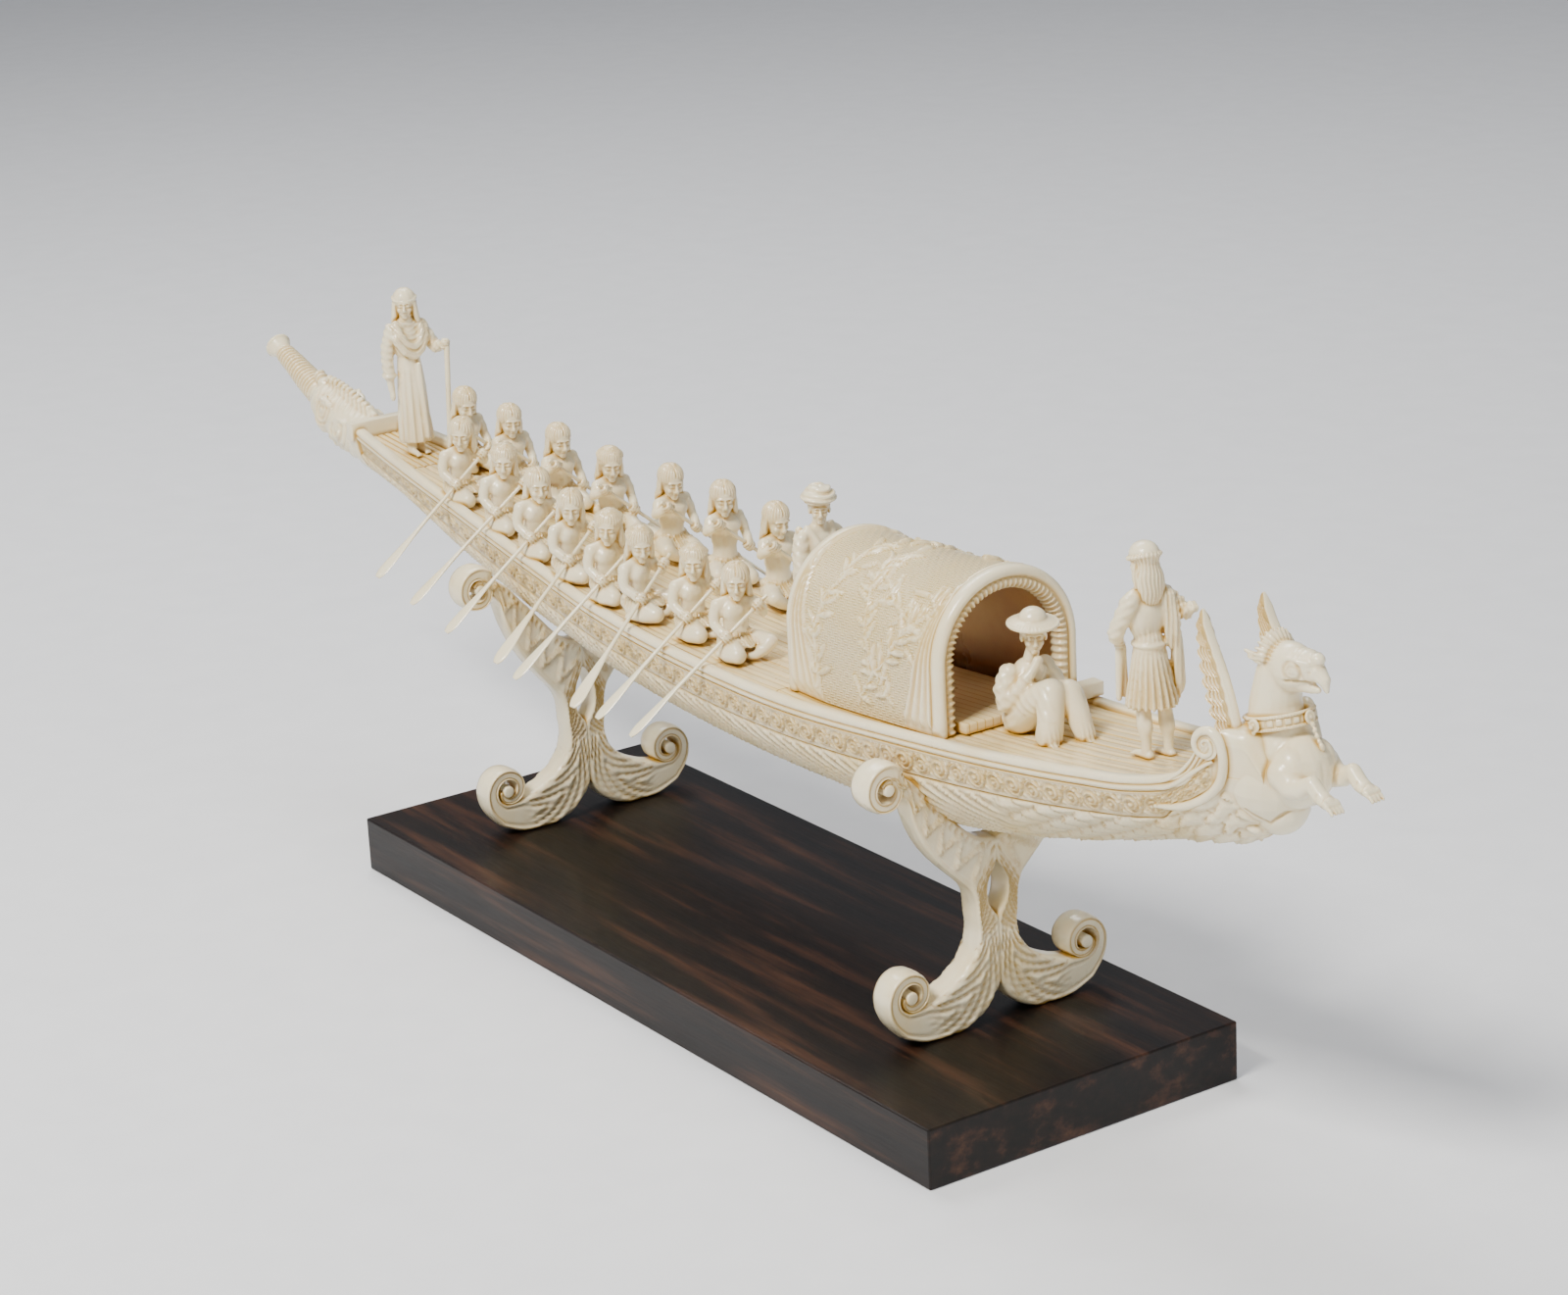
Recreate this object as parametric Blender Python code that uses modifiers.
"""Carved model of a ceremonial barge, carried on two trestles over a wooden plinth.

Units are metres and +Z is up. The origin is the centre of the plinth's underside, and +X is the bow.
Everything aboard is placed in the boat's own frame: X along the keel, Y from the centre plane, Z above
the plinth's top. Tables of sizes and places are in millimetres and say what their columns are.
"""

from math import acos, atan2, cos, pi, radians, sin

import bmesh
import bpy
import numpy as np
from mathutils import Matrix, Vector

MM = 0.001
GAP = 0.3

# Driving dimensions, in millimetres.
PLINTH_LENGTH = 300.0
PLINTH_WIDTH = 105.0
PLINTH_HEIGHT = 17.3
PLINTH_EDGE = 0.5
BOAT_OFFSET_Y = 5.0

# Hull stations: x, half breadth at the rail, height of the rail's top, height of the keel.
HULL_TABLE = (
    (-226.0, 10.0, 104.8, 89.5),
    (-200.0, 13.5, 102.4, 86.0),
    (-150.0, 18.7, 97.6, 74.0),
    (-100.0, 23.6, 92.6, 64.8),
    (-50.0, 27.3, 87.5, 58.6),
    (0.0, 29.6, 85.5, 56.0),
    (50.0, 30.4, 85.9, 56.0),
    (100.0, 28.6, 89.2, 57.8),
    (140.0, 25.6, 92.4, 65.0),
    (170.0, 22.8, 95.8, 73.0),
    (190.0, 21.0, 99.0, 79.0),
    (202.0, 19.2, 102.5, 81.5),
    (212.0, 16.6, 108.5, 84.0),
    (218.0, 14.6, 116.0, 87.5),
    (222.0, 13.0, 116.5, 89.8),
    (226.0, 11.0, 110.0, 94.0),
)
HULL_STATIONS = (-226, -213, -200, -185, -170, -155, -140, -125, -110, -90, -70, -50, -30, -10, 10, 30, 50,
                 70, 90, 110, 130, 150, 165, 178, 190, 198, 205, 212, 216, 219, 222, 224, 226)
HULL_SIDE_STEPS = 6
RAIL_WIDTH = 3.4
RAIL_DEPTH = 3.2
RAIL_PROUD = 0.7
WELL_DEPTH = 5.0
BOW_SEAT_X = 205.0
BOW_SEAT_Z = 98.0
BOW_WALL_BATTER = 2.0

# Decks: name, aft end, forward end.
STERN_MAT = ("stern_mat", -225.5, -190.2)
ROWERS_DECK = ("rowers_deck", -189.8, 43.8)
FOREDECK = ("foredeck", 44.2, 204.7)
# Drop of the decks' tops below the rail: x, drop.
DECK_DROP = ((-226.0, 3.4), (-150.0, 3.0), (-104.0, 2.4), (-84.0, 2.0), (-60.0, 1.0), (-40.0, 0.5),
             (44.0, 0.3), (60.0, 1.2), (110.0, 1.5), (205.0, 1.5))

# Transom band round the stern, behind the hull.
TRANSOM_X = (-230.4, -226.3)
TRANSOM_PROUD = 1.3
TRANSOM_LIP = 0.8
TRANSOM_LIP_FROM = 104.0

# Trestles: name, x of the forward face, lift of the arms over the standard profile.
TRESTLES = (("trestle_bow", 107.3, 0.0), ("trestle_stern", -104.5, 6.3))
TRESTLE_THICKNESS = 8.2

# Cabin: the ends of its arches, the stations of its shell, and its section across the deck.
CABIN_ARCH_X = ((44.6, 48.9), (111.1, 115.4))
CABIN_STATIONS = (49.2, 60.0, 70.0, 80.0, 90.0, 100.0, 110.8)
CABIN_RADIUS = 22.7
CABIN_WALL = 1.8
CABIN_LEG = 19.0
CABIN_ARC_STEPS = 14
ARCH_RADIUS = 23.6
ARCH_OPENING = 17.2
CABIN_FLOOR_X = (50.0, 117.4)
CABIN_FLOOR_HALF = 16.6
CABIN_FLOOR_HEIGHT = 3.0

# Beam end on the far rail, beside the cabin's front arch.
SILL_BLOCK_X = (116.0, 120.6)
SILL_BLOCK_Y = (20.0, 27.6)
SILL_BLOCK_HEIGHT = 4.0

# Rowers on each side: x, y, turn about Z in degrees, rise of the kneeling ones over the seated ones.
NEAR_ROWERS = (
    (-156.5, -10.8, 12.0, 0.0),
    (-127.0, -12.8, 6.0, 0.0),
    (-102.0, -15.8, 8.0, 0.0),
    (-79.6, -17.8, 20.0, 0.0),
    (-57.0, -18.2, 6.0, 0.0),
    (-37.6, -19.6, 24.0, 0.0),
    (-13.6, -16.2, 4.0, 0.0),
    (9.6, -16.8, -4.0, 0.0),
)
FAR_ROWERS = (
    (-181.6, 6.6, -4.0, 0.0),
    (-159.0, 10.0, -12.0, 0.0),
    (-134.0, 13.0, -8.0, 0.0),
    (-106.0, 14.5, -14.0, 0.0),
    (-76.5, 18.0, -10.0, 2.0),
    (-48.0, 18.5, -14.0, 4.0),
    (-20.5, 19.0, -10.0, 4.0),
)

# Places aboard: x and y.
HELM_PLACE = (-203.0, 0.0)
BOW_PLACE = (174.0, 0.0)
PASSENGER_PLACE = (124.5, -2.0)
ATTENDANT_PLACE = (25.0, 3.0)

# Steering pole in the helmsman's frame.
POLE_TOP = (10.4, 8.6, 38.6)
POLE_FOOT = (13.2, 5.4, 3.6)
POLE_RADIUS = 0.9

# A rower's own frame has its origin on the deck under the seat, with +X to the bow and -Y outboard.
LOWER_FIST = Vector((5.0, -5.8, 7.7))
UPPER_FIST = Vector((6.8, 4.0, 15.9))
FIST_RADIUS = 1.75
SHAFT_RADIUS = 0.55
SHAFT_ABOVE_FIST = 3.6
PADDLE_REACH = 39.0
BLADE_LENGTH = 17.0
BLADE_HALF_WIDTH = 2.3
BLADE_HALF_THICK = 0.5

# Wings beside the beast's neck.
WING_THICKNESS = 1.4
WING_Y = 9.4

# Facets kept on each carved piece, and the grain of the carving.
FIGURE_FACES = 330
STANDING_FACES = 420
BEAST_FACES = 900
STERN_FACES = 620
CARVING_GRAIN = 0.55

# Colours and finishes: red, green, blue, roughness.
IVORY = (0.87, 0.82, 0.69, 0.32)
EBONY = (0.035, 0.022, 0.016, 0.35)

PARTS = "ceremonial_barge"
CUTTERS = "cutters"


def mm(*values):
    """A point given in millimetres, in metres."""
    return Vector(values) * MM


# Scene and objects

def clear_scene():
    for old in list(bpy.data.objects):
        bpy.data.objects.remove(old)
    for name in (PARTS, CUTTERS):
        bpy.context.scene.collection.children.link(bpy.data.collections.new(name))


def make_material(name, finish):
    red, green, blue, roughness = finish
    material = bpy.data.materials.new(name)
    material.use_nodes = True
    shader = material.node_tree.nodes["Principled BSDF"]
    shader.inputs["Base Color"].default_value = (red, green, blue, 1.0)
    shader.inputs["Roughness"].default_value = roughness
    shader.inputs["Metallic"].default_value = 0.0
    return material


def add_part(name, mesh, finish, parent=None, collection=PARTS):
    part = bpy.data.objects.new(name, mesh)
    if not mesh.materials:
        mesh.materials.append(make_material(name, finish))
    part.parent = parent
    bpy.data.collections[collection].objects.link(part)
    return part


def to_mesh(name, bm, sharp_angle=40.0):
    bmesh.ops.recalc_face_normals(bm, faces=bm.faces)
    mesh = bpy.data.meshes.new(name)
    bm.to_mesh(mesh)
    bm.free()
    mesh.shade_smooth()
    mesh.set_sharp_from_angle(angle=radians(sharp_angle))
    return mesh


def baked(part):
    """The part's mesh with its modifiers applied, without the modifiers."""
    mesh = bpy.data.meshes.new_from_object(part.evaluated_get(bpy.context.evaluated_depsgraph_get()))
    part.modifiers.clear()
    part.data = mesh
    return part


def hide_cutter(part):
    part.hide_render = True
    part.display_type = "WIRE"
    return part


def loft(name, rings, sharp_angle=40.0):
    """A closed solid through rings of points, given in millimetres, each with the same number of points."""
    bm = bmesh.new()
    loops = [[bm.verts.new(mm(*point)) for point in ring] for ring in rings]
    count = len(rings[0])
    for first, second in zip(loops, loops[1:]):
        for i in range(count):
            j = (i + 1) % count
            bm.faces.new((first[i], first[j], second[j]))
            bm.faces.new((first[i], second[j], second[i]))
    bm.faces.new(loops[0])
    bm.faces.new(loops[-1])
    return to_mesh(name, bm, sharp_angle)


# The hull's lines, in millimetres

def smooth_column(column):
    """The hull's stations for one column of the table, eased between its rows by a cubic."""
    knots = np.array([row[0] for row in HULL_TABLE])
    values = np.array([row[column] for row in HULL_TABLE])
    slopes = np.gradient(values, knots)
    result = []
    for x in HULL_STATIONS:
        i = min(max(int(np.searchsorted(knots, x)) - 1, 0), len(knots) - 2)
        span = knots[i + 1] - knots[i]
        t = (x - knots[i]) / span
        ease = t * t * (3 - 2 * t)
        rise = slopes[i] * (t * t * t - 2 * t * t + t) + slopes[i + 1] * (t * t * t - t * t)
        result.append(values[i] * (1 - ease) + values[i + 1] * ease + span * rise)
    return result


BREADTHS = smooth_column(1)
RAILS = smooth_column(2)
KEELS = smooth_column(3)


def half_breadth(x):
    return float(np.interp(x, HULL_STATIONS, BREADTHS))


def rail_height(x):
    return float(np.interp(x, HULL_STATIONS, RAILS))


def keel_height(x):
    return float(np.interp(x, HULL_STATIONS, KEELS))


def well_height(x):
    """Height of the hull's own top between the rails."""
    if x >= BOW_SEAT_X:
        return BOW_SEAT_Z
    return rail_height(x) - WELL_DEPTH


def deck_height(x):
    """Height of the deck's top at x, the same straight facets as the deck's own solid."""
    stations = deck_stations(ROWERS_DECK[1], ROWERS_DECK[2]) if x < ROWERS_DECK[2] else \
        deck_stations(FOREDECK[1], FOREDECK[2])
    if x < STERN_MAT[2]:
        stations = deck_stations(STERN_MAT[1], STERN_MAT[2])
    return float(np.interp(x, stations, [deck_top(station) for station in stations]))


def deck_top(x):
    drop = float(np.interp(x, [row[0] for row in DECK_DROP], [row[1] for row in DECK_DROP]))
    return rail_height(x) - drop


def deck_stations(aft, forward):
    return [aft] + [x for x in HULL_STATIONS if aft < x < forward] + [forward]


def deck_slope(x):
    """Pitch of the deck at x in radians, positive when the bow side is higher."""
    step = 6.0
    return atan2(deck_height(x + step) - deck_height(x - step), 2 * step)


def hull_ring(x, offset=0.0, decked=False):
    """One section of the hull, from the near rail under the keel to the far rail and back over the top."""
    rail = rail_height(x)
    depth = rail - keel_height(x) + offset
    breadth = half_breadth(x) - RAIL_PROUD + offset
    lowest = acos(RAIL_DEPTH / depth)
    side = [(breadth * sin(lowest * k / HULL_SIDE_STEPS), rail - depth * cos(lowest * k / HULL_SIDE_STEPS))
            for k in range(HULL_SIDE_STEPS + 1)]
    outer = half_breadth(x) + offset
    rail_foot = rail - RAIL_DEPTH + 0.4 - offset
    inner = half_breadth(x) - RAIL_WIDTH - offset
    side += [(outer, rail_foot), (outer, rail + offset)]
    if decked:
        foot = inner - (BOW_WALL_BATTER if x > BOW_SEAT_X else 0.1)
        side += [(inner, rail + offset), (foot, well_height(x) + offset)]
    right = [(x, y, z) for y, z in side[1:]]
    left = [(x, -y, z) for y, z in reversed(side[1:])]
    return [(x, 0.0, side[0][1])] + right + left


def make_hull(boat):
    add_part("hull", loft("hull", [hull_ring(x, decked=True) for x in HULL_STATIONS]), IVORY, boat)


def hull_cutter(boat):
    """The hull grown by the seat gap all round, to cut what is seated on it."""
    rings = [hull_ring(x, offset=GAP, decked=True) for x in HULL_STATIONS]
    rings[-1] = [(x + GAP, y, z) for x, y, z in rings[-1]]
    cutter = add_part("hull_clearance", loft("hull_clearance", rings), IVORY, boat, CUTTERS)
    return hide_cutter(cutter)


def make_deck(boat, name, aft, forward):
    rings = []
    for x in deck_stations(aft, forward):
        half = half_breadth(x) - RAIL_WIDTH - GAP
        low = well_height(min(x, BOW_SEAT_X - 0.01)) + GAP
        rings.append([(x, -half, low), (x, half, low), (x, half, deck_top(x)), (x, -half, deck_top(x))])
    add_part(name, loft(name, rings), IVORY, boat)


def make_transom(boat):
    """A band a little larger than the stern's section, with the carved head behind it."""
    rings = []
    for x in TRANSOM_X:
        ring = hull_ring(HULL_STATIONS[0], offset=TRANSOM_PROUD)
        rings.append([(x, y, z + (TRANSOM_LIP if z > TRANSOM_LIP_FROM else 0.0)) for _, y, z in ring])
    add_part("transom_band", loft("transom_band", rings), IVORY, boat)


# Plinth and trestles

def make_plinth():
    bm = bmesh.new()
    bmesh.ops.create_cube(bm, size=1.0)
    bmesh.ops.scale(bm, vec=mm(PLINTH_LENGTH, PLINTH_WIDTH, PLINTH_HEIGHT), verts=bm.verts)
    bmesh.ops.translate(bm, vec=mm(0, 0, PLINTH_HEIGHT / 2), verts=bm.verts)
    plinth = add_part("plinth", to_mesh("plinth", bm, 20.0), EBONY)
    bevel = plinth.modifiers.new("soft_edges", "BEVEL")
    bevel.width = PLINTH_EDGE * MM
    bevel.segments = 2
    bevel.limit_method = "ANGLE"


def arc(centre, radius, start, end, steps):
    """Points on a circle in the trestle's plane, from one angle to another in degrees."""
    angles = [radians(start + (end - start) * k / steps) for k in range(steps + 1)]
    return [(centre[0] + radius * cos(a), centre[1] + radius * sin(a)) for a in angles]


def trestle_half(keel, lift):
    """Half of a trestle's outline, from the saddle over the arm's scroll and the foot's scroll to the crotch."""
    saddle = [(0.0, keel + 1.2), (9.0, keel + 2.0), (16.0, 64.5 + lift), (23.5, 72.6 + lift),
              (28.6, 77.6 + lift)]
    arm_scroll = arc((34.7, 75.6 + lift), 6.7, 160.0, -142.0, 14)
    arm_under = [(28.0, 68.5 + lift), (26.4, 63.0 + lift), (24.1, 57.8 + lift), (19.6, 51.9 + lift),
                 (13.6, 45.5 + lift), (8.2, 40.5 + lift / 2), (6.4, 36.0 + lift / 3)]
    column = [(6.2, 30.0), (6.6, 25.0), (8.3, 20.6), (11.2, 17.4), (15.6, 14.2), (20.0, 12.0)]
    foot_scroll = arc((30.2, 14.8), 6.9, 200.0, -30.0, 12)
    foot_under = [(33.6, 5.2), (29.5, 1.6), (25.0, 0.0), (16.5, 0.0), (11.5, 0.9), (6.4, 3.4), (2.4, 7.4)]
    return saddle + arm_scroll + arm_under + column + foot_scroll + foot_under


def flat_curve(name, outlines, thickness):
    """A 2D curve through closed outlines in millimetres, filled and extruded to a thickness."""
    curve = bpy.data.curves.new(name, "CURVE")
    curve.dimensions = "2D"
    curve.fill_mode = "BOTH"
    curve.extrude = thickness * MM / 2
    for outline in outlines:
        spline = curve.splines.new("POLY")
        spline.points.add(len(outline) - 1)
        for point, (u, v) in zip(spline.points, outline):
            point.co = (u * MM, v * MM, 0.0, 1.0)
        spline.use_cyclic_u = True
    return curve


def solid_from_curve(part, finish):
    """The part as a mesh object with its caps welded, in place of its curve."""
    mesh = bpy.data.meshes.new_from_object(part.evaluated_get(bpy.context.evaluated_depsgraph_get()))
    bm = bmesh.new()
    bm.from_mesh(mesh)
    bmesh.ops.remove_doubles(bm, verts=bm.verts, dist=0.00002)
    name = part.name
    parent = part.parent
    place = part.matrix_basis.copy()
    bpy.data.objects.remove(part)
    solid = add_part(name, to_mesh(name, bm, 30.0), finish, parent)
    solid.matrix_basis = place
    return solid


def make_trestle(boat, cutter, name, front_x, lift):
    middle_x = front_x - TRESTLE_THICKNESS / 2
    half = trestle_half(keel_height(middle_x), lift)
    left = [(-y, z) for y, z in reversed(half) if y > 0.0]
    eye = [(0.0, 30.4), (2.2, 34.5), (3.4, 39.5), (2.9, 43.0), (0.0, 47.0), (-2.9, 43.0), (-3.4, 39.5),
           (-2.2, 34.5)]
    crotch = [(0.0, 11.0)]
    part = bpy.data.objects.new(name, flat_curve(name, [half + crotch + left, eye], TRESTLE_THICKNESS))
    bpy.data.collections[PARTS].objects.link(part)
    part.parent = boat
    part.rotation_euler = (pi / 2, 0.0, pi / 2)
    part.location = mm(middle_x, 0.0, GAP)
    bpy.context.view_layer.update()
    solid = solid_from_curve(part, IVORY)
    saddle = solid.modifiers.new("saddle", "BOOLEAN")
    saddle.object = cutter
    saddle.operation = "DIFFERENCE"
    return solid


# Cabin

def vault_ring(x, radius, inner, centre_rise):
    """An arch band across the deck at x, from the near outer foot over the top and back inside."""
    foot = deck_height(x) + GAP
    centre = foot + centre_rise
    angles = [pi * k / CABIN_ARC_STEPS for k in range(CABIN_ARC_STEPS + 1)]
    outside = [(x, -radius * cos(a), centre + radius * sin(a)) for a in angles]
    inside = [(x, -inner * cos(a), centre + inner * sin(a)) for a in reversed(angles)]
    return [(x, -radius, foot)] + outside + [(x, radius, foot), (x, inner, foot)] + inside + [(x, -inner, foot)]


def make_cabin(boat):
    inner = CABIN_RADIUS - CABIN_WALL
    rings = [vault_ring(x, CABIN_RADIUS, inner, CABIN_LEG) for x in CABIN_STATIONS]
    add_part("cabin_shell", loft("cabin_shell", rings), IVORY, boat)
    for name, ends in zip(("cabin_back_arch", "cabin_front_arch"), CABIN_ARCH_X):
        rings = [vault_ring(x, ARCH_RADIUS, ARCH_OPENING, CABIN_LEG) for x in ends]
        add_part(name, loft(name, rings), IVORY, boat)
    make_cabin_floor(boat)


def make_cabin_floor(boat):
    """The raised floor inside the cabin, with its step in the front opening."""
    aft, forward = CABIN_FLOOR_X
    rings = []
    for x in [aft] + [x for x in HULL_STATIONS if aft < x < forward] + [forward]:
        low = deck_height(x) + GAP
        top = low + CABIN_FLOOR_HEIGHT
        half = CABIN_FLOOR_HALF
        rings.append([(x, -half, low), (x, half, low), (x, half, top), (x, -half, top)])
    add_part("cabin_floor", loft("cabin_floor", rings), IVORY, boat)
    low = rail_height(SILL_BLOCK_X[1]) + GAP
    high = low + SILL_BLOCK_HEIGHT
    inner, outer = SILL_BLOCK_Y
    rings = [[(x, inner, low), (x, outer, low), (x, outer, high), (x, inner, high)] for x in SILL_BLOCK_X]
    add_part("sill_block", loft("sill_block", rings), IVORY, boat)


# Carved pieces: round forms joined into one and worked down to a few facets

class Carving:
    """A set of overlapping round forms, in millimetres, that becomes one carved solid."""

    def __init__(self, name):
        self.name = name
        self.bm = bmesh.new()

    def ball(self, centre, radii, turn=0.0, pitch=0.0):
        place = Matrix.Translation(mm(*centre)) @ Matrix.Rotation(radians(turn), 4, "Z") \
            @ Matrix.Rotation(radians(-pitch), 4, "Y") @ Matrix.Diagonal((*mm(*radii), 1.0))
        bmesh.ops.create_uvsphere(self.bm, u_segments=16, v_segments=10, radius=1.0, matrix=place)

    def limb(self, points, radii):
        """Round bars through a chain of points, with a ball at each of them."""
        for point, radius in zip(points, radii):
            self.ball(point, (radius, radius, radius))
        for start, end, r_start, r_end in zip(points, points[1:], radii, radii[1:]):
            span = mm(*end) - mm(*start)
            place = Matrix.Translation(mm(*start) + span / 2) @ span.to_track_quat("Z", "Y").to_matrix().to_4x4()
            bmesh.ops.create_cone(self.bm, cap_ends=True, segments=14, radius1=r_start * MM,
                                  radius2=r_end * MM, depth=span.length, matrix=place)

    def block(self, centre, sizes, turn=0.0, pitch=0.0):
        place = Matrix.Translation(mm(*centre)) @ Matrix.Rotation(radians(turn), 4, "Z") \
            @ Matrix.Rotation(radians(-pitch), 4, "Y") @ Matrix.Diagonal((*mm(*sizes), 1.0))
        bmesh.ops.create_cube(self.bm, size=1.0, matrix=place)

    def carve(self, facets, grain=CARVING_GRAIN):
        """One closed mesh of about the given number of facets."""
        mesh = bpy.data.meshes.new(self.name)
        self.bm.to_mesh(mesh)
        self.bm.free()
        work = bpy.data.objects.new(self.name + "_work", mesh)
        bpy.data.collections[CUTTERS].objects.link(work)
        remesh = work.modifiers.new("join", "REMESH")
        remesh.mode = "VOXEL"
        remesh.voxel_size = grain * MM
        baked(work)
        thin = work.modifiers.new("facets", "DECIMATE")
        thin.ratio = facets / (2.0 * len(work.data.polygons))
        baked(work)
        mesh = work.data
        mesh.name = self.name
        bpy.data.objects.remove(work)
        mesh.shade_smooth()
        return mesh


def cut_flat(mesh, point, normal):
    """Cut away what lies on the normal's side of a plane, and close the cut."""
    bm = bmesh.new()
    bm.from_mesh(mesh)
    geometry = bm.verts[:] + bm.edges[:] + bm.faces[:]
    bmesh.ops.bisect_plane(bm, geom=geometry, dist=1e-7, plane_co=mm(*point), plane_no=normal,
                           clear_outer=True)
    edges = [edge for edge in bm.edges if edge.is_boundary]
    bmesh.ops.holes_fill(bm, edges=edges, sides=0)
    bmesh.ops.triangulate(bm, faces=[face for face in bm.faces if len(face.verts) > 4])
    bm.to_mesh(mesh)
    bm.free()
    return mesh


def paddle_axis():
    return (LOWER_FIST - UPPER_FIST).normalized()


def cut_shaft_hole(name, mesh, rise):
    """Drill the fists through for the paddle's shaft, a little wider than the shaft."""
    part = add_part(name, mesh, IVORY, None, CUTTERS)
    start = lifted(UPPER_FIST, rise) - paddle_axis() * 8.0
    end = lifted(LOWER_FIST, rise) + paddle_axis() * 10.0
    bm = bmesh.new()
    span = (end - start) * MM
    place = Matrix.Translation(start * MM + span / 2) @ span.to_track_quat("Z", "Y").to_matrix().to_4x4()
    hole = (SHAFT_RADIUS + GAP) * MM
    bmesh.ops.create_cone(bm, cap_ends=True, segments=8, radius1=hole, radius2=hole, depth=span.length,
                          matrix=place)
    drill = hide_cutter(add_part("drill", to_mesh("drill", bm), IVORY, None, CUTTERS))
    bore = part.modifiers.new("shaft", "BOOLEAN")
    bore.object = drill
    bore.operation = "DIFFERENCE"
    bpy.context.view_layer.update()
    mesh = baked(part).data
    bpy.data.objects.remove(part)
    bpy.data.objects.remove(drill)
    return mesh


def lifted(point, rise):
    return Vector(point) + Vector((0.0, 0.0, rise))


def rower_mesh(side, rise):
    """A rower, bare to the waist, with long hair and both fists on the shaft. side is -1 near, 1 far."""
    form = Carving("rower")
    form.limb([(0.0, 0.0, 4.0), (0.2, 0.2, 7.5 + rise)], [5.0, 4.2])
    form.ball((0.4, 0.4, 12.6 + rise), (3.5, 5.4, 5.0), turn=18.0)
    form.limb([(0.4, 0.5, 16.4 + rise), (0.8, 0.6, 20.5 + rise)], [1.9, 1.7])
    form.ball((1.1, 0.6, 22.7 + rise), (3.4, 3.0, 3.9))
    form.ball((0.2, 0.5, 23.6 + rise), (3.8, 3.6, 4.1))
    form.ball((-1.4, 0.3, 19.6 + rise), (2.3, 3.8, 3.5))
    lower = tuple(lifted(LOWER_FIST, rise))
    upper = tuple(lifted(UPPER_FIST, rise))
    form.limb([(-1.2, -4.7, 15.4 + rise), (-0.2, -6.5, 10.4 + rise), lower], [1.9, 1.6, 1.4])
    form.limb([(1.6, 5.0, 15.4 + rise), (4.6, 7.0, 12.6 + rise), upper], [1.9, 1.6, 1.4])
    form.ball(lower, (FIST_RADIUS, FIST_RADIUS, FIST_RADIUS))
    form.ball(upper, (FIST_RADIUS, FIST_RADIUS, FIST_RADIUS))
    form.limb([(0.6, -2.6, 3.3), (9.0, -4.6, 3.0), (3.0, -5.6, 2.0)], [3.3, 2.6, 2.0])
    form.limb([(0.6, 2.6, 3.4), (9.6, 6.0, 5.2), (8.8, 1.8, 1.8), (2.0, 0.0, 1.6)], [3.3, 2.5, 2.0, 1.6])
    mesh = cut_flat(form.carve(FIGURE_FACES), (0.0, 0.0, 0.0), (0.0, 0.0, -1.0))
    mesh = cut_shaft_hole("rower", mesh, rise)
    mesh.name = "rower_near" if side < 0 else "rower_far"
    if side > 0:
        mirror_mesh(mesh)
    return mesh


def mirror_mesh(mesh):
    mesh.transform(Matrix.Diagonal((1.0, -1.0, 1.0, 1.0)))
    mesh.flip_normals()


def paddle_mesh(side, rise):
    """A paddle in the rower's frame: a thin round shaft that widens into a flat blade with a blunt point."""
    axis = paddle_axis()
    top = lifted(UPPER_FIST, rise) - axis * SHAFT_ABOVE_FIST
    reach = (LOWER_FIST - UPPER_FIST).length + PADDLE_REACH + SHAFT_ABOVE_FIST
    across = axis.cross(Vector((0.0, 0.0, 1.0))).normalized()
    thick = axis.cross(across).normalized()
    blade_start = reach - BLADE_LENGTH
    # Sections along the paddle: distance from the top, half width, half thickness.
    sections = (
        (0.0, SHAFT_RADIUS, SHAFT_RADIUS),
        (blade_start, SHAFT_RADIUS, SHAFT_RADIUS),
        (blade_start + 0.5 * BLADE_LENGTH, 0.62 * BLADE_HALF_WIDTH, BLADE_HALF_THICK),
        (reach - 3.0, BLADE_HALF_WIDTH, BLADE_HALF_THICK),
        (reach, 0.35 * BLADE_HALF_WIDTH, 0.6 * BLADE_HALF_THICK),
    )
    rings = []
    for distance, half_width, half_thick in sections:
        centre = top + axis * distance
        rings.append([centre + across * half_width * cos(a) + thick * half_thick * sin(a)
                      for a in [2 * pi * k / 8 for k in range(8)]])
    mesh = loft("paddle_near" if side < 0 else "paddle_far", rings, 35.0)
    if side > 0:
        mirror_mesh(mesh)
    return mesh


def seat_on_hull(part, hull_clearance):
    """Cut away what would reach into the rails."""
    cut = part.modifiers.new("rail_clearance", "BOOLEAN")
    cut.object = hull_clearance
    cut.operation = "DIFFERENCE"


def make_rowers(boat, hull_clearance):
    for side, word, table in ((-1, "near", NEAR_ROWERS), (1, "far", FAR_ROWERS)):
        rises = sorted(set(row[3] for row in table))
        bodies = {rise: rower_mesh(side, rise) for rise in rises}
        paddles = {rise: paddle_mesh(side, rise) for rise in rises}
        for number, (x, y, turn, rise) in enumerate(table, 1):
            seat = boat_empty(boat, "seat_%s_%d" % (word, number), (x, y), turn, upright=False)
            rower = add_part("rower_%s_%d" % (word, number), bodies[rise], IVORY, seat)
            seat_on_hull(rower, hull_clearance)
            add_part("paddle_%s_%d" % (word, number), paddles[rise], IVORY, seat)


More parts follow.
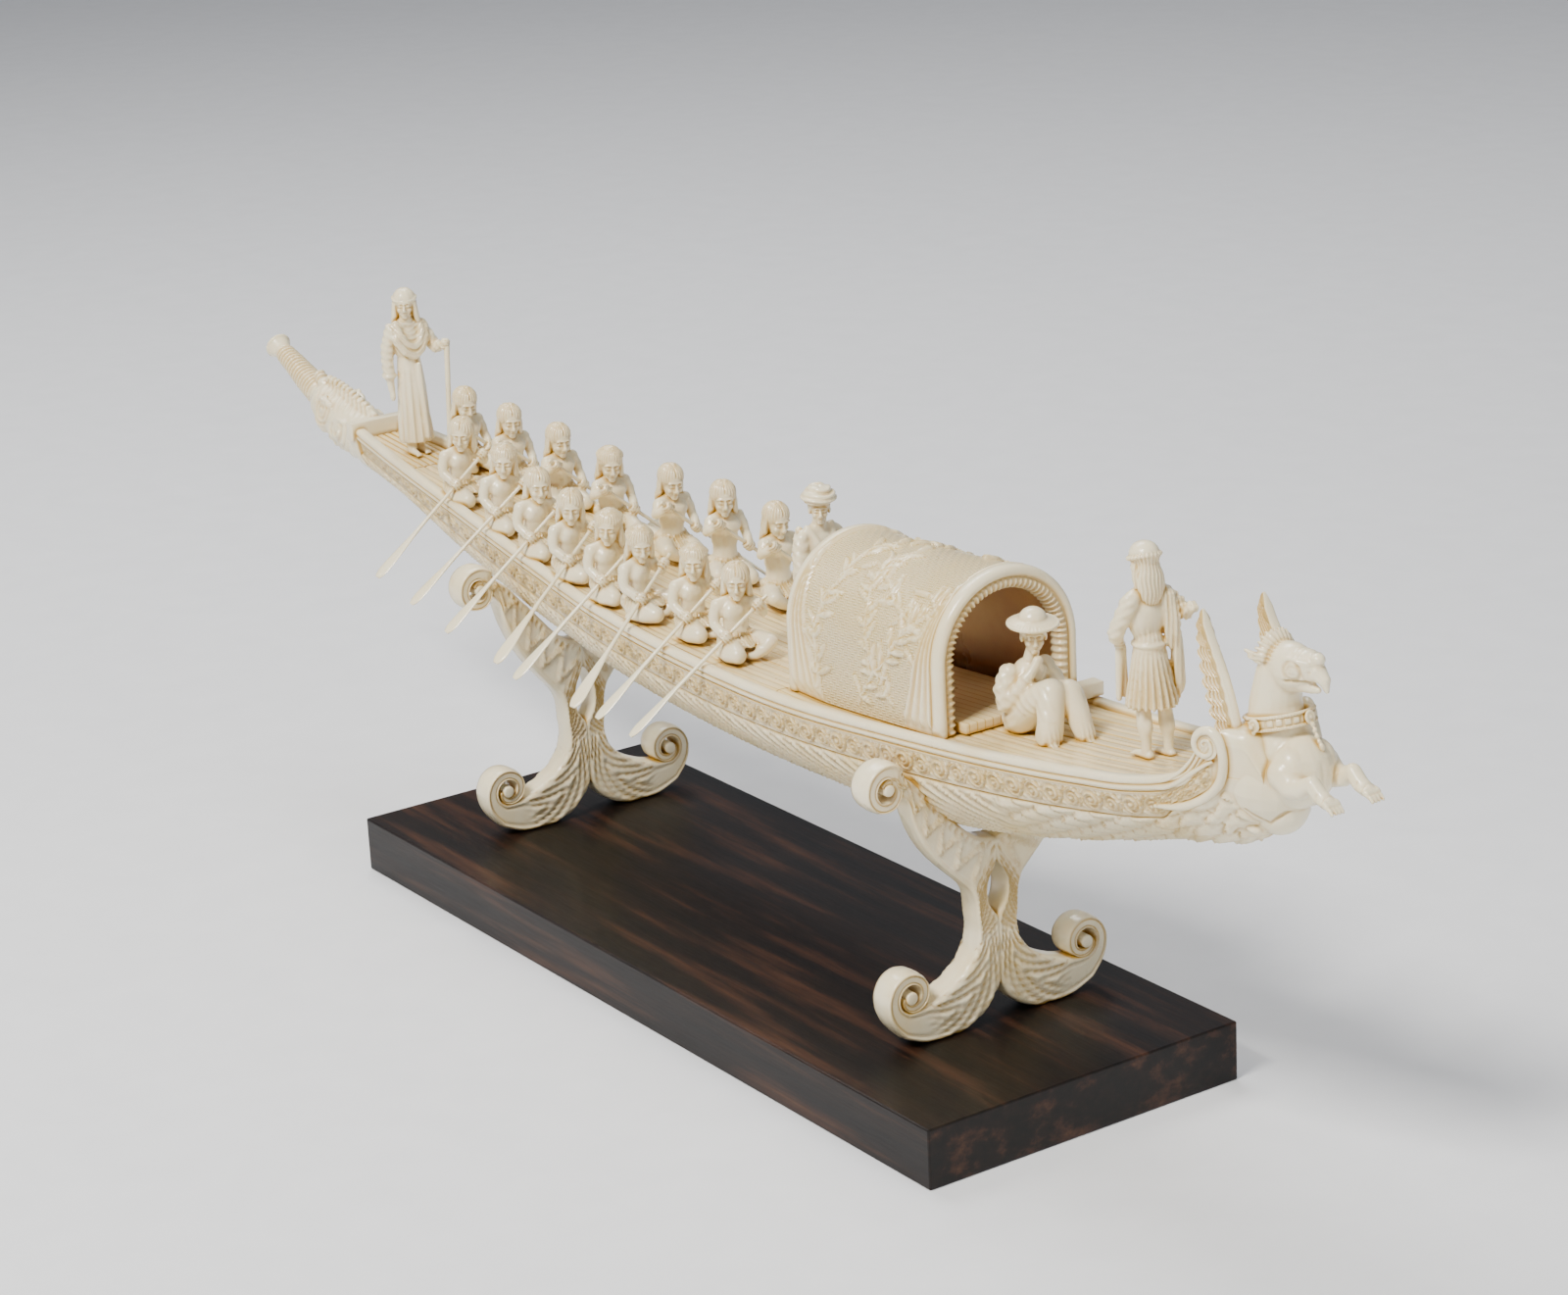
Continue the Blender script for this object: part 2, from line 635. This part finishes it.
def boat_empty(boat, name, place, turn=0.0, upright=True):
    """An empty on the deck at a place's x and y that carries a figure, upright or pitched with the deck."""
    x, y = place
    seat = bpy.data.objects.new(name, None)
    bpy.data.collections[PARTS].objects.link(seat)
    seat.parent = boat
    pitch = 0.0 if upright else deck_slope(x)
    seat.matrix_basis = Matrix.Translation(mm(x, y, deck_height(x) + GAP)) \
        @ Matrix.Rotation(-pitch, 4, "Y") @ Matrix.Rotation(radians(turn), 4, "Z")
    return seat


def cut_to_deck(mesh, x, clear=0.0):
    """Cut an upright figure's base along the deck under it, and clear of the deck's next facet."""
    slope = deck_slope(x)
    return cut_flat(mesh, (0.0, 0.0, clear), (sin(slope), 0.0, -cos(slope)))


def make_helmsman(boat):
    """The standing helmsman: long robe, shawl, head-cloth, one arm down and one hand on the pole."""
    form = Carving("helmsman")
    form.limb([(0.5, -1.8, -0.6), (0.0, -1.6, 12.0)], [2.0, 2.6])
    form.limb([(-1.5, 2.2, -0.6), (-0.5, 1.8, 12.0)], [2.0, 2.6])
    form.limb([(-0.6, 0.3, 8.0), (-0.4, 0.2, 22.0), (-0.6, 0.0, 32.0)], [5.0, 4.6, 4.0])
    form.ball((-0.6, 0.0, 37.5), (4.0, 6.0, 6.6))
    form.limb([(-0.6, 0.0, 43.0), (-0.4, 0.0, 47.0)], [2.4, 2.2])
    form.ball((-0.2, -0.2, 50.0), (3.7, 3.4, 4.6))
    form.ball((-0.8, -0.2, 49.4), (3.9, 3.8, 4.8))
    form.limb([(-1.0, -5.6, 41.5), (-1.6, -7.4, 32.0), (-0.6, -7.2, 20.5)], [2.3, 2.1, 1.4])
    form.limb([(0.0, 5.4, 41.5), (2.6, 8.4, 34.6), (8.2, 7.8, 36.6)], [2.3, 2.0, 1.7])
    form.block((1.0, -1.8, 0.0), (6.5, 2.8, 3.4))
    form.block((-0.5, 2.4, 0.0), (6.0, 2.8, 3.4))
    mesh = cut_to_deck(form.carve(STANDING_FACES), HELM_PLACE[0])
    stand = boat_empty(boat, "helm_place", HELM_PLACE)
    add_part("helmsman", mesh, IVORY, stand)
    make_rod(stand, "steering_pole", POLE_TOP, POLE_FOOT, POLE_RADIUS)


def make_rod(parent, name, start, end, radius):
    """A thin round rod between two points of its parent's frame."""
    bm = bmesh.new()
    span = mm(*end) - mm(*start)
    place = Matrix.Translation(mm(*start) + span / 2) @ span.to_track_quat("Z", "Y").to_matrix().to_4x4()
    bmesh.ops.create_cone(bm, cap_ends=True, segments=10, radius1=radius * MM, radius2=radius * MM,
                          depth=span.length, matrix=place)
    add_part(name, to_mesh(name, bm), IVORY, parent)


def make_lookout(boat):
    """The standing lookout at the bow: capped head, long hair, pleated tunic, sash, rod in the near hand."""
    form = Carving("lookout")
    form.limb([(0.0, -2.6, -0.6), (-1.0, -2.6, 10.0), (-1.5, -2.2, 22.0)], [1.7, 2.2, 2.8])
    form.limb([(3.0, 2.6, -0.6), (2.0, 2.6, 10.0), (0.0, 2.2, 22.0)], [1.7, 2.2, 2.8])
    form.limb([(-0.6, 0.0, 19.5), (-1.4, 0.0, 30.0)], [6.0, 4.0])
    form.ball((-2.0, 0.0, 36.5), (4.0, 6.0, 7.0))
    form.limb([(-2.4, 0.0, 42.0), (-2.6, 0.0, 47.0)], [2.4, 2.2])
    form.ball((-3.0, 0.0, 50.0), (4.2, 3.9, 4.9))
    form.ball((-4.0, 0.0, 45.0), (2.8, 4.2, 5.0))
    form.limb([(-2.0, -5.4, 41.0), (-5.0, -7.6, 33.0), (-6.6, -5.0, 29.6)], [2.4, 2.1, 1.5])
    form.limb([(-1.0, 5.4, 41.0), (2.6, 8.8, 36.6), (5.0, 8.4, 38.6)], [2.4, 2.1, 1.6])
    form.limb([(0.5, 5.6, 40.0), (2.2, 6.6, 22.0)], [2.0, 1.8])
    form.limb([(-7.0, -4.9, 30.0), (-7.2, -4.9, 20.0)], [0.9, 0.9])
    form.block((0.8, -2.6, 0.0), (7.0, 2.8, 3.4))
    form.block((4.0, 2.6, 0.0), (7.0, 2.8, 3.4))
    mesh = cut_to_deck(form.carve(STANDING_FACES), BOW_PLACE[0])
    add_part("lookout", mesh, IVORY, boat_empty(boat, "bow_place", BOW_PLACE))


def make_passenger(boat):
    """The seated passenger in front of the cabin: brimmed hat, hand at the chin, wrapped legs."""
    form = Carving("passenger")
    form.ball((0.0, 0.0, 3.5), (5.6, 7.0, 5.8))
    form.limb([(0.0, 0.0, 6.0), (1.2, 0.2, 15.5)], [5.6, 5.0])
    form.limb([(1.6, 0.4, 19.0), (2.6, 0.4, 23.0)], [2.2, 2.0])
    form.ball((3.4, 0.4, 25.6), (3.7, 3.3, 4.2))
    form.ball((3.2, 0.4, 29.2), (7.4, 7.2, 1.1), pitch=8.0)
    form.ball((2.6, 0.4, 30.6), (3.9, 3.8, 2.6))
    form.limb([(0.0, -5.4, 16.4), (1.2, -7.6, 8.6), (6.6, -3.6, 17.2), (6.2, -0.6, 20.8)],
              [3.0, 3.2, 2.0, 1.6])
    form.limb([(0.6, 5.8, 16.4), (4.6, 7.4, 9.4), (9.6, 2.6, 10.6)], [3.0, 2.8, 2.0])
    form.limb([(2.0, -3.2, 4.6), (13.0, -1.6, 13.6), (16.4, -5.4, 3.4)], [4.4, 4.0, 3.8])
    form.limb([(2.0, 3.2, 4.6), (14.0, 3.2, 12.6), (21.0, 3.0, 2.6)], [4.4, 3.8, 2.8])
    mesh = cut_to_deck(form.carve(STANDING_FACES), PASSENGER_PLACE[0], clear=GAP)
    add_part("passenger", mesh, IVORY, boat_empty(boat, "passenger_place", PASSENGER_PLACE))


def make_attendant(boat, hull_clearance):
    """The turbaned attendant standing behind the cabin in a wide robe."""
    form = Carving("attendant")
    form.limb([(0.0, 0.0, 5.5), (0.0, 0.0, 26.4)], [7.0, 5.4])
    form.ball((0.0, 0.0, 31.4), (4.6, 7.0, 6.0))
    form.limb([(0.2, 0.0, 36.4), (0.6, 0.0, 40.4)], [2.5, 2.2])
    form.ball((0.8, 0.0, 42.8), (3.7, 3.4, 4.3))
    form.ball((0.6, 0.0, 46.6), (5.6, 5.4, 2.3))
    form.ball((0.4, 0.0, 48.2), (3.2, 3.1, 1.8))
    form.limb([(0.0, -6.0, 33.9), (2.6, -7.6, 25.4), (7.0, -3.0, 25.4)], [2.8, 2.8, 1.9])
    form.limb([(0.0, 6.0, 33.9), (2.6, 7.6, 25.4), (7.0, 3.0, 25.4)], [2.8, 2.8, 1.9])
    mesh = cut_to_deck(form.carve(STANDING_FACES), ATTENDANT_PLACE[0])
    seat = boat_empty(boat, "attendant_place", ATTENDANT_PLACE)
    seat_on_hull(add_part("attendant", mesh, IVORY, seat), hull_clearance)


def make_beast(boat, hull_clearance):
    """The winged beast at the prow: breast and forelegs over the stem, arched neck, hooked beak, crest."""
    form = Carving("prow_beast")
    form.ball((221.0, 0.0, 104.0), (11.0, 9.0, 9.5))
    form.ball((228.5, 0.0, 106.0), (8.8, 8.6, 9.5))
    form.limb([(222.0, 0.0, 110.0), (219.5, 0.0, 120.0), (221.0, 0.0, 128.5)], [8.6, 6.6, 5.6])
    form.ball((226.0, 0.0, 131.5), (8.0, 5.2, 6.4), pitch=-10.0)
    form.limb([(229.0, 0.0, 131.5), (235.5, 0.0, 131.0), (237.4, 0.0, 128.8)], [4.2, 2.4, 1.1])
    form.limb([(216.5, 0.0, 134.6), (222.0, 0.0, 138.0), (229.0, 0.0, 137.4)], [1.3, 1.5, 1.2])
    for side in (-1, 1):
        form.ball((217.6, 4.4 * side, 133.4), (1.6, 1.2, 2.2), pitch=30.0)
        form.limb([(231.2, 6.2 * side, 105.8), (235.0, 6.8 * side, 104.4), (240.0, 6.4 * side, 107.4),
                   (243.4, 6.4 * side, 104.2), (247.6, 6.4 * side, 103.4)], [4.2, 2.9, 2.1, 2.2, 1.7])
    beast = add_part("prow_beast", form.carve(BEAST_FACES), IVORY, boat)
    under_seat = box_mesh("under_seat", (180, -30, 60), (226 + 0.8 * GAP, 30, BOW_SEAT_Z + GAP))
    seat = hide_cutter(add_part("under_seat", under_seat, IVORY, boat, CUTTERS))
    collar = hide_cutter(add_part("collar_room", collar_mesh("collar_room", GAP), IVORY, boat, CUTTERS))
    for cutter in (seat, hull_clearance, collar):
        cut = beast.modifiers.new(cutter.name, "BOOLEAN")
        cut.object = cutter
        cut.operation = "DIFFERENCE"
    make_wings(boat)
    add_part("beast_collar", collar_mesh("beast_collar", 0.0), IVORY, boat)


def box_mesh(name, low, high):
    bm = bmesh.new()
    size = Vector(high) - Vector(low)
    centre = (Vector(high) + Vector(low)) / 2
    place = Matrix.Translation(centre * MM) @ Matrix.Diagonal((*(size * MM), 1.0))
    bmesh.ops.create_cube(bm, size=1.0, matrix=place)
    return to_mesh(name, bm)


def collar_mesh(name, room):
    """A studded band round the lower neck, tipped with the neck, grown by the room given."""
    bm = bmesh.new()
    tilt = Matrix.Translation(mm(221.4, 0.0, 117.6)) @ Matrix.Rotation(radians(-14.0), 4, "Y")
    outer = 9.0 + room
    inner = 6.6 - room
    half = 1.6 + room
    count = 20
    profile = ((outer, -half), (outer, half), (inner, half), (inner, -half))
    rings = []
    for k in range(count):
        a = 2 * pi * k / count
        rings.append([bm.verts.new(tilt @ mm(r * cos(a), 0.94 * r * sin(a), z)) for r, z in profile])
    for k in range(count):
        first = rings[k]
        second = rings[(k + 1) % count]
        for i in range(4):
            j = (i + 1) % 4
            bm.faces.new((first[i], first[j], second[j], second[i]))
    return to_mesh(name, bm)


def make_wings(boat):
    """Two raised wings, each a thin curved plate that stands on the shoulder beside the collar."""
    # Outline of a wing in the X-Z plane: leading edge up to the tip, and down the feathers' ends.
    outline = [(214.6, 105.0), (217.6, 106.0), (218.2, 112.0), (217.6, 118.0), (215.8, 123.5),
               (213.0, 129.0), (208.6, 136.0), (204.8, 143.0), (203.4, 140.0), (204.0, 132.0),
               (206.0, 124.0), (208.8, 117.5), (212.0, 111.0)]
    for word, side in (("near", -1), ("far", 1)):
        name = "wing_" + word
        curve = flat_curve(name, [outline], WING_THICKNESS)
        part = bpy.data.objects.new(name, curve)
        bpy.data.collections[PARTS].objects.link(part)
        part.parent = boat
        part.rotation_euler = (pi / 2, 0.0, 0.0)
        part.location = mm(0.0, WING_Y * side, 0.0)
        bpy.context.view_layer.update()
        solid_from_curve(part, IVORY)


def make_stern_head(boat):
    """The beast's head behind the transom, with a ringed trunk that ends in a flared mouth."""
    form = Carving("stern_head")
    form.limb([(-233.5, 0.0, 98.6), (-245.0, 0.0, 100.6), (-258.0, 0.0, 104.0), (-268.0, 0.0, 107.0)],
              [8.6, 8.8, 8.0, 6.6])
    form.limb([(-266.0, 0.0, 106.6), (-277.6, 0.0, 111.0), (-287.0, 0.0, 115.0), (-296.0, 0.0, 118.4)],
              [6.0, 4.8, 3.8, 3.2])
    form.limb([(-295.0, 0.0, 118.0), (-299.0, 0.0, 119.6)], [3.2, 4.2])
    form.limb([(-264.0, 0.0, 112.4), (-252.0, 0.0, 113.6), (-240.0, 0.0, 111.6), (-229.0, 0.0, 109.6)],
              [1.8, 2.0, 1.9, 1.5])
    form.ball((-255.0, -7.4, 104.2), (2.6, 1.8, 2.2))
    form.ball((-255.0, 7.4, 104.2), (2.6, 1.8, 2.2))
    mesh = form.carve(STERN_FACES)
    cut_flat(mesh, (TRANSOM_X[0] - GAP, 0.0, 100.0), (1.0, 0.0, 0.0))
    cut_flat(mesh, (-300.8, 0.0, 120.3), (-0.93, 0.0, 0.36))
    add_part("stern_head", mesh, IVORY, boat)


def make_boat():
    boat = bpy.data.objects.new("boat", None)
    bpy.data.collections[PARTS].objects.link(boat)
    boat.location = mm(0.0, BOAT_OFFSET_Y, PLINTH_HEIGHT)
    bpy.context.view_layer.update()
    make_hull(boat)
    for name, aft, forward in (STERN_MAT, ROWERS_DECK, FOREDECK):
        make_deck(boat, name, aft, forward)
    make_transom(boat)
    cutter = hull_cutter(boat)
    for name, front_x, lift in TRESTLES:
        make_trestle(boat, cutter, name, front_x, lift)
    make_cabin(boat)
    make_rowers(boat, cutter)
    make_helmsman(boat)
    make_lookout(boat)
    make_passenger(boat)
    make_attendant(boat, cutter)
    make_beast(boat, cutter)
    make_stern_head(boat)


def main():
    clear_scene()
    make_plinth()
    make_boat()


main()
